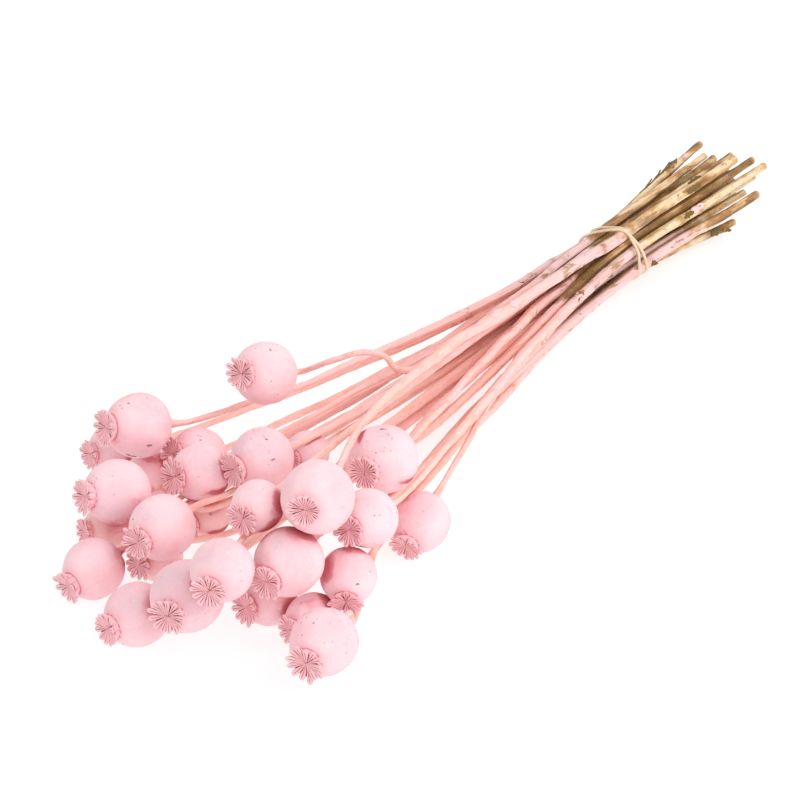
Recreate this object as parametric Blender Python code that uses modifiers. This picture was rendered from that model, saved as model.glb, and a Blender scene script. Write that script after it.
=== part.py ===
"""A tied bunch of dried poppy seed heads, painted pink, lying on its side on a flat surface.

Each poppy is one solid: a stem, a round seed head and the rayed crown on top of the head. The
stems run along +X, from the heads at -X to the cut ends at +X, and an elastic band wound twice
round them near the cut ends holds the bunch together. The origin is on the surface, under the
middle of the bunch, and +Z is up.

Each head's height above the surface is chosen by hand, and its line of sight in the reference
picture fixes the rest of its place. Heads that would touch then slide apart, mostly along their
lines of sight. The stems start as smooth routes from the heads through the tie to the cut ends,
and bend clear of each other and of the heads.
"""

import itertools
import math
from typing import NamedTuple

import bmesh
import bpy
import numpy as np
from mathutils import Matrix, Vector

# Sizes and places are in millimetres, except where a name says pixels
MM = 0.001

# The view of the reference picture
VIEW_AZIMUTH = math.radians(-48.5)
VIEW_ELEVATION = math.radians(34)
VIEW_DISTANCE = 1500
FOCAL_PX = 2620
PICTURE_MIDDLE_PX = 400
AIM = np.array((-53.0, 8.0, 25.0))

# Seed heads and crowns, as shares of the head's radius where a name says share
CROWN_RISE_SHARE = 1.20
CROWN_FOOT_SHARE = 0.40
CROWN_HEIGHT_SHARES = (0.84, 1.25)
CROWN_DISH_SHARE = 0.12
CROWN_CREASE_SHARE = 0.08
CROWN_NOTCH = 0.80
SIDEWAYS_MOST = 0.82
HEAD_SIDES = 14
HEAD_PROFILE_SHARES = (
    (0.19, 1.06),
    (0.57, 0.89),
    (0.90, 0.48),
    (1.00, 0.02),
    (0.91, -0.42),
    (0.60, -0.79),
    (0.23, -0.97),
    (0.15, -1.13),
)
SINK = 0.5
HEAD_GAP = 0.5
SHORTEST_EDGE = 0.02
SHARP_ANGLE = math.radians(40)

# Small balls that stand for a crown's rim and for a stem's start while the heads settle
RIM_BALL = 1.8
RIM_BALLS = 10
RIM_RISE_SHARE = 1.16
STEM_BALL = 3.2
STEM_BALL_REACHES = (4, 9, 14)

# Stems
NECK_RADIUS = 2.0
NECK_REACH = 9
STEM_GAP = 0.45
TAPER_POWER = 0.8
ROOT_SINK = 0.5
LEAVE_SHARE = 0.5
ARRIVE_SHARE = 0.9
PAST_BENDS = np.array((1.0, 0.0, -0.2))
UPPER_SEGMENTS = 11
LOWER_SEGMENTS = 4
FLOOR_GAP = 0.6

# The tie and the cut ends
TIE_X = 161
TIE_Y = 20
TIE_SHAPE = (0.8, 1.6)
BAND_RADIUS = 0.9
BAND_GAP = 0.5
BAND_HALF_SPREAD = 7.0
BAND_CROSSING = math.radians(125)
BAND_LEAN = 4.0
BAND_LEAN_TOWARD = math.radians(225)
BAND_LIFT = 2.3
BAND_LIFT_REACH = math.radians(60)
BAND_POINTS = 84
HULL_TURNS = 720
END_SPREAD = 1.25
END_DRIFT = (1, 1)
END_JITTER = 3
END_XS = (255, 292)

# Colours and roughness
PINK = (0.93, 0.60, 0.62)
PAINT_ROUGHNESS = 0.85
CREAM = (0.80, 0.62, 0.40)
RUBBER_ROUGHNESS = 0.6

# How the settling goes: rounds, and the share of a wished move that each round makes
HEAD_ROUNDS = 600
HEAD_SIDEWAYS = 0.12
HEAD_PULL_BACK = 0.05
HEAD_PULL_BACK_ALONG = 0.01
HEAD_NEIGHBOUR = 75
TIE_ROUNDS = 2000
TIE_SQUEEZE = 0.006
TIE_SHARE = 0.3
TIE_REPEATS = 4
STEM_ROUNDS = 500
STEM_SMOOTHING = (0.5, 0.2)
BEND_PULL = 0.15
STEM_SHARE = 0.55
STEM_OVERSHOOT = 1.2
STEM_NEIGHBOUR = 14
LAST_ROUNDS = 150
SEED = 7


class Poppy(NamedTuple):
    """One poppy: where the picture shows its head and crown, in pixels, and its sizes."""

    head_px: tuple
    crown_px: tuple
    width: float
    crown_width: float
    height: float
    rays: int
    base_radius: float


POPPIES = {
    "01": Poppy((266, 373), (242, 374), 35.0, 19.0, 70, 13, 3.0),
    "02": Poppy((141, 428), (109, 430), 36.0, 21.5, 46, 13, 3.1),
    "03": Poppy((116, 449), (90, 454), 29.5, 17.0, 15, 11, 2.9),
    "04": Poppy((119, 492), (81, 496), 35.5, 20.0, 43, 12, 3.3),
    "05": Poppy((110, 527), (84, 531), 27.0, 15.0, 14, 11, 3.1),
    "06": Poppy((95, 569), (69, 587), 32.5, 19.0, 16, 12, 3.3),
    "07": Poppy((138, 614), (106, 629), 33.5, 19.0, 17, 12, 3.2),
    "08": Poppy((188, 596), (170, 614), 37.5, 20.0, 38, 13, 3.4),
    "09": Poppy((225, 563), (213, 583), 32.0, 19.0, 66, 12, 3.1),
    "10": Poppy((163, 527), (140, 542), 34.5, 19.5, 41, 13, 3.3),
    "11": Poppy((201, 473), (175, 477), 31.5, 21.0, 42, 12, 3.2),
    "12": Poppy((197, 453), (171, 451), 31.0, 18.0, 28, 11, 3.2),
    "13": Poppy((263, 458), (233, 470), 33.5, 20.0, 52, 13, 3.3),
    "14": Poppy((256, 512), (241, 525), 27.0, 18.0, 72, 12, 3.0),
    "15": Poppy((318, 497), (306, 509), 37.5, 18.0, 86, 14, 3.5),
    "16": Poppy((384, 459), (364, 472), 37.0, 19.5, 60, 13, 3.4),
    "17": Poppy((369, 518), (349, 529), 30.5, 19.0, 60, 12, 3.1),
    "18": Poppy((421, 521), (402, 551), 33.0, 19.0, 15.5, 12, 3.3),
    "19": Poppy((348, 576), (346, 603), 29.5, 19.5, 33, 12, 3.0),
    "20": Poppy((289, 561), (266, 581), 35.5, 20.5, 57, 13, 3.4),
    "21": Poppy((271, 599), (247, 607), 29.0, 20.0, 15, 12, 3.1),
    "22": Poppy((314, 619), (291, 629), 29.0, 17.0, 13.5, 11, 3.2),
    "23": Poppy((324, 641), (306, 661), 34.5, 21.0, 24, 13, 3.4),
    "24": Poppy((207, 514), (190, 524), 26.5, 16.0, 13, 11, 3.0),
    "25": Poppy((158, 555), (140, 563), 27.0, 17.0, 14, 11, 3.1),
    "26": Poppy((308, 452), (292, 459), 24.0, 14.0, 40, 11, 2.9),
    "27": Poppy((153, 474), (132, 480), 28.0, 16.0, 14, 11, 3.0),
}

# Places that a stem is bent through: the pixel and the height
BENDS = {
    "01": (((334, 360), 75), ((370, 349), 77), ((387, 354), 71), ((394, 368), 58), ((406, 374), 46)),
    "04": (((172, 487), 40), ((204, 496), 35), ((240, 488), 36)),
    "09": (((262, 508), 57), ((316, 496), 51), ((372, 470), 34)),
    "22": (((370, 552), 3.4),),
    "23": (((351, 632), 16), ((357, 606), 12), ((367, 584), 12), ((384, 532), 12)),
}

# Cut ends that the picture shows: the pixel and the height
SHOWN_ENDS = (
    ((700, 144), 38),
    ((714, 158), 30),
    ((731, 155), 42),
    ((752, 160), 40),
    ((764, 166), 34),
    ((744, 191), 22),
    ((757, 194), 24),
    ((733, 222), 6),
)

BACK = np.array((
    math.sin(VIEW_AZIMUTH) * math.cos(VIEW_ELEVATION),
    -math.cos(VIEW_AZIMUTH) * math.cos(VIEW_ELEVATION),
    math.sin(VIEW_ELEVATION),
))
RIGHT = np.array((math.cos(VIEW_AZIMUTH), math.sin(VIEW_AZIMUTH), 0.0))
UP = np.cross(BACK, RIGHT)
EYE = AIM + BACK * VIEW_DISTANCE
UPWARD = np.array((0.0, 0.0, 1.0))


def line_of_sight(px):
    across = (px[0] - PICTURE_MIDDLE_PX) / FOCAL_PX
    upward = (PICTURE_MIDDLE_PX - px[1]) / FOCAL_PX
    ray = RIGHT * across + UP * upward - BACK
    return ray / np.linalg.norm(ray)


def seen_at_height(px, height):
    """The place that the picture shows at a pixel, once its height is known."""
    ray = line_of_sight(px)
    return EYE + ray * (height - EYE[2]) / ray[2]


def head_axis(poppy, centre):
    """The way the crown points, from how far it is seen off the head's middle."""
    depth = (EYE - centre) @ BACK
    reach = poppy.width / 2 * CROWN_RISE_SHARE * FOCAL_PX / depth
    across = (poppy.crown_px[0] - poppy.head_px[0]) / reach
    upward = (poppy.head_px[1] - poppy.crown_px[1]) / reach
    shrink = min(1, SIDEWAYS_MOST / math.hypot(across, upward))
    across *= shrink
    upward *= shrink
    toward = math.sqrt(1 - across**2 - upward**2)
    return RIGHT * across + UP * upward + BACK * toward


def head_balls(axis, poppy):
    """Balls that stand for a head while it settles: the capsule, the crown's rim and the neck."""
    radius = poppy.width / 2
    side = np.cross(axis, UPWARD)
    side /= np.linalg.norm(side)
    other = np.cross(axis, side)
    turns = np.arange(RIM_BALLS) * math.tau / RIM_BALLS
    rise = axis * RIM_RISE_SHARE * radius
    reach = poppy.crown_width / 2 - RIM_BALL
    rim = [rise + (side * math.cos(turn) + other * math.sin(turn)) * reach for turn in turns]
    neck = [-axis * (radius + reach) for reach in STEM_BALL_REACHES]
    offsets = np.array([axis * 0, rise, *rim, *neck])
    radii = np.array([radius] + [RIM_BALL] * (RIM_BALLS + 1) + [STEM_BALL] * len(neck))
    return offsets, radii


def push_apart(place, moves, pair, gaps, reach):
    """Parts two heads where their balls are tightest, mostly along their lines of sight."""
    lengths = np.linalg.norm(gaps, axis=2)
    lack = reach - lengths
    tightest = np.unravel_index(np.argmax(lack), lack.shape)
    if lack[tightest] <= 0:
        return
    one, two = pair
    way = gaps[tightest] / lengths[tightest]
    step = way * lack[tightest] / (way @ (moves[one] + moves[two]) @ way)
    place[one] += moves[one] @ step
    place[two] -= moves[two] @ step


def settle_heads():
    """The heads' middles and axes, clear of each other and of the surface."""
    poppies = list(POPPIES.values())
    start = np.array([seen_at_height(poppy.head_px, poppy.height) for poppy in poppies])
    sight = np.array([line_of_sight(poppy.head_px) for poppy in poppies])
    axes = np.array([head_axis(poppy, centre) for poppy, centre in zip(poppies, start)])
    balls = [head_balls(axis, poppy) for axis, poppy in zip(axes, poppies)]
    along = sight[:, :, None] * sight[:, None, :]
    moves = HEAD_SIDEWAYS * np.eye(3) + (1 - HEAD_SIDEWAYS) * along
    place = start.copy()
    for turn in range(HEAD_ROUNDS):
        if turn < HEAD_ROUNDS - LAST_ROUNDS:
            pull = start - place
            pull_along = np.einsum("nij,nj->ni", along, pull)
            place += HEAD_PULL_BACK * (pull - pull_along) + HEAD_PULL_BACK_ALONG * pull_along
        for one, two in itertools.combinations(range(len(place)), 2):
            if np.linalg.norm(place[one] - place[two]) > HEAD_NEIGHBOUR:
                continue
            ones = place[one] + balls[one][0]
            twos = place[two] + balls[two][0]
            reach = balls[one][1][:, None] + balls[two][1] + HEAD_GAP
            push_apart(place, moves, (one, two), ones[:, None] - twos, reach)
        lift_heads(place, moves, balls)
    return place, axes, balls


def lift_heads(place, moves, balls):
    """Raises heads that reach below the surface by more than their flat is deep."""
    for middle, move, (offsets, radii) in zip(place, moves, balls):
        low = ((middle + offsets)[:, 2] - radii).min() + SINK
        if low < 0:
            middle += move @ UPWARD * -low / (UPWARD @ move @ UPWARD)


def pack_tie(radii, wish):
    """Where each stem crosses the tie: discs drawn slowly together until they touch."""
    place = wish.copy()
    for turn in range(TIE_ROUNDS):
        if turn < TIE_ROUNDS - LAST_ROUNDS:
            place *= 1 - TIE_SQUEEZE
        for _ in range(TIE_REPEATS):
            gap = place[:, None] - place
            length = np.linalg.norm(gap, axis=2) + np.eye(len(place)) * 1e6
            lack = np.maximum(0, radii[:, None] + radii + STEM_GAP - length)
            place += (gap / length[:, :, None] * lack[:, :, None]).sum(1) * TIE_SHARE
    return place - place.mean(0)


def curve_between(start, start_way, end, end_way, count):
    """Points of a smooth curve from one place and direction to another."""
    t = np.linspace(0, 1, count + 1)[:, None]
    return (
        (2 * t**3 - 3 * t**2 + 1) * start
        + (t**3 - 2 * t**2 + t) * start_way
        + (3 * t**2 - 2 * t**3) * end
        + (t**3 - t**2) * end_way
    )


def choose_ends(slots, centre):
    """The cut end of each stem: the nearest shown end, or else a place a little spread out."""
    rng = np.random.default_rng(SEED)
    ends = np.empty((len(slots), 3))
    ends[:, 0] = rng.uniform(*END_XS, len(slots))
    ends[:, 1:] = slots * END_SPREAD + centre + END_DRIFT + rng.uniform(-END_JITTER, END_JITTER, slots.shape)
    taken = []
    for px, height in SHOWN_ENDS:
        shown = seen_at_height(px, height)
        far = np.linalg.norm(ends[:, 1:] - shown[1:], axis=1)
        far[taken] = math.inf
        taken.append(int(np.argmin(far)))
        ends[taken[-1]] = shown
    return ends


class Stems:
    """All stems as rows of points with a radius each.

    Points that aren't free stay where they are. Those at a stem's bends are pulled to them.
    """

    def __init__(self, place, axes):
        poppies = list(POPPIES.values())
        base_radii = np.array([poppy.base_radius for poppy in poppies])
        slots = pack_tie(base_radii, (place - place.mean(0))[:, 1:] * TIE_SHAPE)
        bottom = (slots[:, 1] - base_radii).min()
        centre = np.array((TIE_Y, 2 * BAND_RADIUS + BAND_GAP - bottom))
        ends = choose_ends(slots, centre)
        self.points = np.empty((len(poppies), UPPER_SEGMENTS + LOWER_SEGMENTS + 1, 3))
        self.free = np.ones(self.points.shape[:2])
        self.free[:, [0, 1, UPPER_SEGMENTS]] = 0
        self.pull = np.zeros_like(self.free)
        for row, (name, poppy) in enumerate(POPPIES.items()):
            slot = np.array((TIE_X, *(slots[row] + centre)))
            self.route(row, BENDS.get(name, ()), place[row], axes[row], poppy.width / 2, slot)
            self.points[row, UPPER_SEGMENTS:] = np.linspace(slot, ends[row], LOWER_SEGMENTS + 1)
        self.wished = self.points.copy()
        runs = np.cumsum(np.linalg.norm(np.diff(self.points, axis=1), axis=2), axis=1)
        share = np.minimum(1, runs / runs[:, UPPER_SEGMENTS - 1 : UPPER_SEGMENTS])
        share = np.hstack((np.zeros((len(poppies), 1)), share))
        self.radii = NECK_RADIUS + (base_radii[:, None] - NECK_RADIUS) * share**TAPER_POWER

    def route(self, row, bends, middle, axis, radius, slot):
        """The stem's first route from the head through its bends to its slot in the tie."""
        line = self.points[row]
        line[0] = middle - axis * (radius - ROOT_SINK)
        line[1] = middle - axis * (radius + NECK_REACH)
        for count, (px, height) in enumerate(bends):
            line[2 + count] = seen_at_height(px, height)
            self.pull[row, 2 + count] = BEND_PULL
        last = 1 + len(bends)
        way = -axis
        if bends:
            way = PAST_BENDS
        span = np.linalg.norm(slot - line[last])
        arrive = np.array((span * ARRIVE_SHARE, 0, 0))
        line[last : UPPER_SEGMENTS + 1] = curve_between(
            line[last], way * span * LEAVE_SHARE, slot, arrive, UPPER_SEGMENTS - last
        )

    def segments(self):
        """The stem and place in it of each segment, as two arrays."""
        rows, steps = np.indices((self.points.shape[0], self.points.shape[1] - 1))
        return rows.ravel(), steps.ravel()

    def smooth(self, amount):
        """Evens out how sharply each stem bends, and draws it to its bends."""
        points = self.points
        even = (4 * (points[:, 1:-3] + points[:, 3:-1]) - points[:, :-4] - points[:, 4:]) / 6
        points[:, 2:-2] += self.free[:, 2:-2, None] * amount * (even - points[:, 2:-2])
        points += self.pull[:, :, None] * (self.wished - points)

    def at(self, rows, steps, share):
        """Places and radii part of the way along segments."""
        start, end = self.points[rows, steps], self.points[rows, steps + 1]
        place = start + (end - start) * share[:, None]
        radius = self.radii[rows, steps] * (1 - share) + self.radii[rows, steps + 1] * share
        return place, radius

    def nudge(self, total, weight, rows, steps, share, shift):
        """Adds a wished shift of a place on a segment to the segment's two points."""
        for side, part in ((0, 1 - share), (1, share)):
            np.add.at(total, (rows, steps + side), shift * part[:, None])
            np.add.at(weight, (rows, steps + side), part)


def closest_shares(one, two, three, four):
    """How far along the segments one-two and three-four their nearest points are."""
    p, q, r = two - one, four - three, one - three
    pp, qq, pq = (p * p).sum(1), (q * q).sum(1), (p * q).sum(1)
    pr, qr = (p * r).sum(1), (q * r).sum(1)
    first = np.clip((pq * qr - pr * qq) / np.maximum(pp * qq - pq * pq, 1e-9), 0, 1)
    second = np.clip((pq * first + qr) / qq, 0, 1)
    return np.clip((pq * second - pr) / pp, 0, 1), second


def near_pairs(stems, balls):
    """Pairs of segments, and of segments and balls, that might touch soon."""
    rows, steps = stems.segments()
    start, end = stems.points[rows, steps], stems.points[rows, steps + 1]
    middle, half = (start + end) / 2, np.linalg.norm(end - start, axis=1) / 2
    one, two = np.triu_indices(len(rows), 1)
    apart = np.linalg.norm(middle[one] - middle[two], axis=1)
    close = (rows[one] != rows[two]) & (apart < half[one] + half[two] + STEM_NEIGHBOUR)
    places, radii, owners = balls
    apart = np.linalg.norm(middle[:, None] - places, axis=2)
    close_ball = (rows[:, None] != owners) & (apart < half[:, None] + radii + STEM_NEIGHBOUR)
    return (one[close], two[close]), np.nonzero(close_ball)


def part_stems(stems, pairs, total, weight):
    """Wishes stems that are too close away from each other."""
    rows, steps = stems.segments()
    one, two = pairs
    points = stems.points
    first, second = closest_shares(
        points[rows[one], steps[one]],
        points[rows[one], steps[one] + 1],
        points[rows[two], steps[two]],
        points[rows[two], steps[two] + 1],
    )
    place, radius = stems.at(rows[one], steps[one], first)
    place_two, radius_two = stems.at(rows[two], steps[two], second)
    gap = place - place_two
    length = np.linalg.norm(gap, axis=1) + 1e-9
    lack = radius + radius_two + STEM_GAP - length
    hit = lack > 0
    shift = (gap / length[:, None] * lack[:, None])[hit] * STEM_SHARE
    one, two, first, second = one[hit], two[hit], first[hit], second[hit]
    stems.nudge(total, weight, rows[one], steps[one], first, shift)
    stems.nudge(total, weight, rows[two], steps[two], second, -shift)


def part_from_balls(stems, pairs, balls, total, weight):
    """Wishes stems away from heads that are too close to them."""
    rows, steps = stems.segments()
    segment, ball = pairs
    places, radii, _ = balls
    start = stems.points[rows[segment], steps[segment]]
    way = stems.points[rows[segment], steps[segment] + 1] - start
    share = np.clip(((places[ball] - start) * way).sum(1) / (way * way).sum(1), 0, 1)
    place, radius = stems.at(rows[segment], steps[segment], share)
    gap = place - places[ball]
    length = np.linalg.norm(gap, axis=1) + 1e-9
    lack = radius + radii[ball] + HEAD_GAP - length
    hit = lack > 0
    shift = (gap / length[:, None] * lack[:, None])[hit]
    stems.nudge(total, weight, rows[segment[hit]], steps[segment[hit]], share[hit], shift)


def settle_stems(stems, balls):
    """Bends the stems clear of each other, of the heads and of the surface."""
    floor = stems.radii + FLOOR_GAP
    for turn in range(STEM_ROUNDS):
        if turn < STEM_ROUNDS - LAST_ROUNDS:
            stems.smooth(STEM_SMOOTHING[turn > STEM_ROUNDS / 2])
        if turn % 10 == 0:
            segment_pairs, ball_pairs = near_pairs(stems, balls)
        for _ in range(2):
            total = np.zeros_like(stems.points)
            weight = np.zeros_like(stems.radii)
            part_stems(stems, segment_pairs, total, weight)
            part_from_balls(stems, ball_pairs, balls, total, weight)
            share = stems.free * STEM_OVERSHOOT / np.maximum(1, weight)
            stems.points += total * share[:, :, None]
            stems.points[:, 1:, 2] = np.maximum(stems.points[:, 1:, 2], floor[:, 1:])


def paint(name, colour, roughness):
    material = bpy.data.materials.new(name)
    material.use_nodes = True
    shader = material.node_tree.nodes["Principled BSDF"]
    shader.inputs["Base Color"].default_value = (*colour, 1)
    shader.inputs["Roughness"].default_value = roughness
    shader.inputs["Metallic"].default_value = 0
    material.diffuse_color = (*colour, 1)
    return material


def tube(name, points, radii, sides_step, cyclic=False):
    """A closed mesh tube along points, with a radius at each, in a new object."""
    curve = bpy.data.curves.new(name + "_route", "CURVE")
    curve.dimensions = "3D"
    curve.bevel_depth = MM
    curve.bevel_resolution = sides_step
    curve.use_fill_caps = True
    spline = curve.splines.new("POLY")
    spline.points.add(len(points) - 1)
    for target, place, radius in zip(spline.points, points, radii):
        target.co = (*(place * MM), 1)
        target.radius = radius
    spline.use_cyclic_u = cyclic
    route = bpy.data.objects.new(name + "_route", curve)
    bpy.context.scene.collection.objects.link(route)
    bpy.context.view_layer.update()
    graph = bpy.context.evaluated_depsgraph_get()
    mesh = bpy.data.meshes.new_from_object(route.evaluated_get(graph))
    piece = bpy.data.objects.new(name, mesh)
    piece.matrix_world = route.matrix_world
    bpy.data.objects.remove(route)
    bpy.data.curves.remove(curve)
    work = bmesh.new()
    work.from_mesh(mesh)
    bmesh.ops.remove_doubles(work, verts=work.verts, dist=1e-6)
    bmesh.ops.recalc_face_normals(work, faces=work.faces)
    work.to_mesh(mesh)
    work.free()
    return piece


def capsule(name, radius):
    """The round seed head: a turned profile, from under the crown down to the neck."""
    mesh = bpy.data.meshes.new(name)
    profile = [(across * radius * MM, 0, along * radius * MM) for across, along in HEAD_PROFILE_SHARES]
    profile.insert(0, (0, 0, profile[0][2]))
    profile.append((0, 0, profile[-1][2]))
    edges = [(step, step + 1) for step in range(len(profile) - 1)]
    mesh.from_pydata(profile, edges, [])
    piece = bpy.data.objects.new(name, mesh)
    turned = piece.modifiers.new("turned", "SCREW")
    turned.steps = HEAD_SIDES
    turned.render_steps = HEAD_SIDES
    turned.use_merge_vertices = True
    turned.merge_threshold = 1e-6
    return piece


def crown(name, poppy):
    """The flared cap with its rays: raised ray tips round a dished face, and notches between them."""
    radius = poppy.width / 2
    reach = poppy.crown_width / 2
    low, high = (share * radius * MM for share in CROWN_HEIGHT_SHARES)
    work = bmesh.new()
    bmesh.ops.create_cone(
        work,
        cap_ends=True,
        cap_tris=True,
        segments=2 * poppy.rays,
        radius1=CROWN_FOOT_SHARE * radius * MM,
        radius2=reach * MM,
        depth=high - low,
        matrix=Matrix.Translation((0, 0, (low + high) / 2)),
    )
    for vertex in work.verts:
        if vertex.co.z < (low + high) / 2:
            continue
        if math.hypot(vertex.co.x, vertex.co.y) < reach * MM / 2:
            vertex.co.z -= CROWN_DISH_SHARE * radius * MM
            continue
        turn = round(math.atan2(vertex.co.x, vertex.co.y) / math.pi * poppy.rays)
        if turn % 2:
            vertex.co.x *= CROWN_NOTCH
            vertex.co.y *= CROWN_NOTCH
            vertex.co.z -= CROWN_CREASE_SHARE * radius * MM
    bmesh.ops.recalc_face_normals(work, faces=work.faces)
    mesh = bpy.data.meshes.new(name)
    work.to_mesh(mesh)
    work.free()
    return bpy.data.objects.new(name, mesh)


def apply_modifiers(piece):
    """Turns an object's modifiers into its own mesh."""
    bpy.context.view_layer.update()
    graph = bpy.context.evaluated_depsgraph_get()
    mesh = bpy.data.meshes.new_from_object(piece.evaluated_get(graph))
    piece.modifiers.clear()
    piece.data = mesh


def merge_short_edges(work):
    """Joins the nearly doubled points that a union leaves where its solids cross."""
    bmesh.ops.remove_doubles(work, verts=work.verts, dist=SHORTEST_EDGE * MM)
    bmesh.ops.dissolve_degenerate(work, dist=SHORTEST_EDGE * MM, edges=work.edges)


def stand_on_surface(piece):
    """Cuts away what is below the surface, which leaves a small flat spot to rest on."""
    work = bmesh.new()
    work.from_mesh(piece.data)
    work.transform(piece.matrix_world)
    merge_short_edges(work)
    if min(vertex.co.z for vertex in work.verts) < 0:
        geometry = [*work.verts, *work.edges, *work.faces]
        cut = bmesh.ops.bisect_plane(
            work, geom=geometry, dist=1e-7, plane_co=(0, 0, 0), plane_no=(0, 0, 1), clear_inner=True
        )
        rim = [item for item in cut["geom_cut"] if isinstance(item, bmesh.types.BMEdge)]
        bmesh.ops.holes_fill(work, edges=rim)
    bmesh.ops.triangulate(work, faces=work.faces)
    merge_short_edges(work)
    bmesh.ops.triangulate(work, faces=work.faces)
    bmesh.ops.recalc_face_normals(work, faces=work.faces)
    work.to_mesh(piece.data)
    work.free()
    piece.matrix_world = Matrix.Identity(4)


def poppy_solid(name, poppy, middle, axis, points, radii, home):
    """One poppy: its capsule, joined with its stem and its crown."""
    head = capsule("poppy_" + name, poppy.width / 2)
    cap = crown(name + "_crown", poppy)
    stem = tube(name + "_stem", points, radii, 1)
    joined = bpy.data.collections.new(name + "_joined")
    bpy.context.scene.collection.children.link(joined)
    home.objects.link(head)
    joined.objects.link(cap)
    joined.objects.link(stem)
    turn = Vector(axis).to_track_quat("Z", "Y").to_matrix().to_4x4()
    pose = Matrix.Translation(Vector(middle) * MM) @ turn
    head.matrix_world = pose
    cap.matrix_world = pose
    bpy.context.view_layer.update()
    union = head.modifiers.new("joined", "BOOLEAN")
    union.operation = "UNION"
    union.operand_type = "COLLECTION"
    union.collection = joined
    apply_modifiers(head)
    for piece in (cap, stem):
        bpy.data.objects.remove(piece)
    bpy.data.collections.remove(joined)
    stand_on_surface(head)
    head.data.shade_smooth()
    head.data.set_sharp_from_angle(angle=SHARP_ANGLE)
    return head


def hull_round(discs):
    """A taut closed path round discs, as one place for each direction outward."""
    turns = np.arange(HULL_TURNS) * math.tau / HULL_TURNS
    ways = np.stack((np.cos(turns), np.sin(turns)), axis=1)
    middles, radii = discs[:, :2], discs[:, 2]
    furthest = np.argmax(middles @ ways.T + radii[:, None], axis=0)
    path = middles[furthest] + ways * (radii[furthest] + BAND_GAP + BAND_RADIUS)[:, None]
    return np.unwrap(np.arctan2(*(path - middles.mean(0)).T[::-1])), path


def band_points(stems):
    """The band's middle line: two turns round the stems, which cross once."""
    rows = np.arange(len(stems.points))
    discs = []
    for step, shift in ((UPPER_SEGMENTS - 1, -1), (UPPER_SEGMENTS, 1)):
        length = np.abs(stems.points[rows, step + 1, 0] - stems.points[rows, step, 0])
        share = np.clip((BAND_HALF_SPREAD + BAND_LEAN) / length, 0, 1)
        share = 1 - share if shift < 0 else share
        place, radius = stems.at(rows, np.full(len(rows), step), share)
        discs.append(np.column_stack((place[:, 1:], radius)))
    angles, path = hull_round(np.concatenate(discs))
    middle = path.mean(0)
    runs = np.concatenate(((0,), np.cumsum(np.linalg.norm(np.diff(path, axis=0), axis=1))))
    wanted = np.arange(BAND_POINTS) / BAND_POINTS * 2
    spots = (wanted % 1) * runs[-1]
    flat = np.column_stack([np.interp(spots, runs, path[:, part]) for part in (0, 1)])
    angle = np.interp(spots, runs, angles) + math.tau * np.floor(wanted)
    past = angle - BAND_CROSSING
    off = (past + math.tau) % (2 * math.tau) - math.tau
    bump = np.where(np.abs(off) < BAND_LIFT_REACH, np.cos(off / BAND_LIFT_REACH * math.pi / 2) ** 2, 0)
    outward = flat - middle
    outward /= np.linalg.norm(outward, axis=1)[:, None]
    flat = flat + outward * (bump * BAND_LIFT)[:, None]
    flat[:, 1] = np.maximum(flat[:, 1], BAND_RADIUS)
    lean = BAND_LEAN * np.cos(angle - BAND_LEAN_TOWARD)
    across = TIE_X + BAND_HALF_SPREAD * np.sin(past / 2) + lean
    return np.column_stack((across, flat))


def centre_on_origin(pieces):
    """Moves the bunch so that the middle of its box is over the origin."""
    corners = np.array([vertex.co[:2] for piece in pieces for vertex in piece.data.vertices])
    middle = (corners.min(0) + corners.max(0)) / 2
    shift = Matrix.Translation((-middle[0], -middle[1], 0))
    for piece in pieces:
        piece.data.transform(shift)
        piece.data.update()


def clear_scene():
    for item in list(bpy.data.objects):
        bpy.data.objects.remove(item)


def build_bunch():
    clear_scene()
    home = bpy.data.collections.new("poppy_bunch")
    bpy.context.scene.collection.children.link(home)
    place, axes, head_sets = settle_heads()
    stems = Stems(place, axes)
    heads_only = RIM_BALLS + 2
    balls = (
        np.concatenate([middle + offsets[:heads_only] for middle, (offsets, _) in zip(place, head_sets)]),
        np.concatenate([radii[:heads_only] for _, radii in head_sets]),
        np.repeat(np.arange(len(head_sets)), heads_only),
    )
    settle_stems(stems, balls)
    for row, (name, poppy) in enumerate(POPPIES.items()):
        piece = poppy_solid(name, poppy, place[row], axes[row], stems.points[row], stems.radii[row], home)
        piece.data.materials.clear()
        piece.data.materials.append(paint("pink_paint_" + name, PINK, PAINT_ROUGHNESS))
    points = band_points(stems)
    band = tube("elastic_band", points, np.full(len(points), BAND_RADIUS), 1, cyclic=True)
    band.data.materials.append(paint("cream_rubber", CREAM, RUBBER_ROUGHNESS))
    home.objects.link(band)
    centre_on_origin(home.objects)


build_bunch()
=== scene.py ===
"""Dresses the tied bunch of painted poppy seed heads and sets it on a pale studio floor.

Every poppy of the frame gets one fine piece: a lumpy capsule, a crown of grooved rays and a
ridged stem, all measured from the poppy's solid. The elastic band follows its own solid, drawn in
to the stems, and dry leaf scraps lie on the stems.
"""

import math
from typing import NamedTuple

import bmesh
import bpy
import numpy as np
from mathutils import Matrix, Vector
from mathutils.bvhtree import BVHTree


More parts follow.
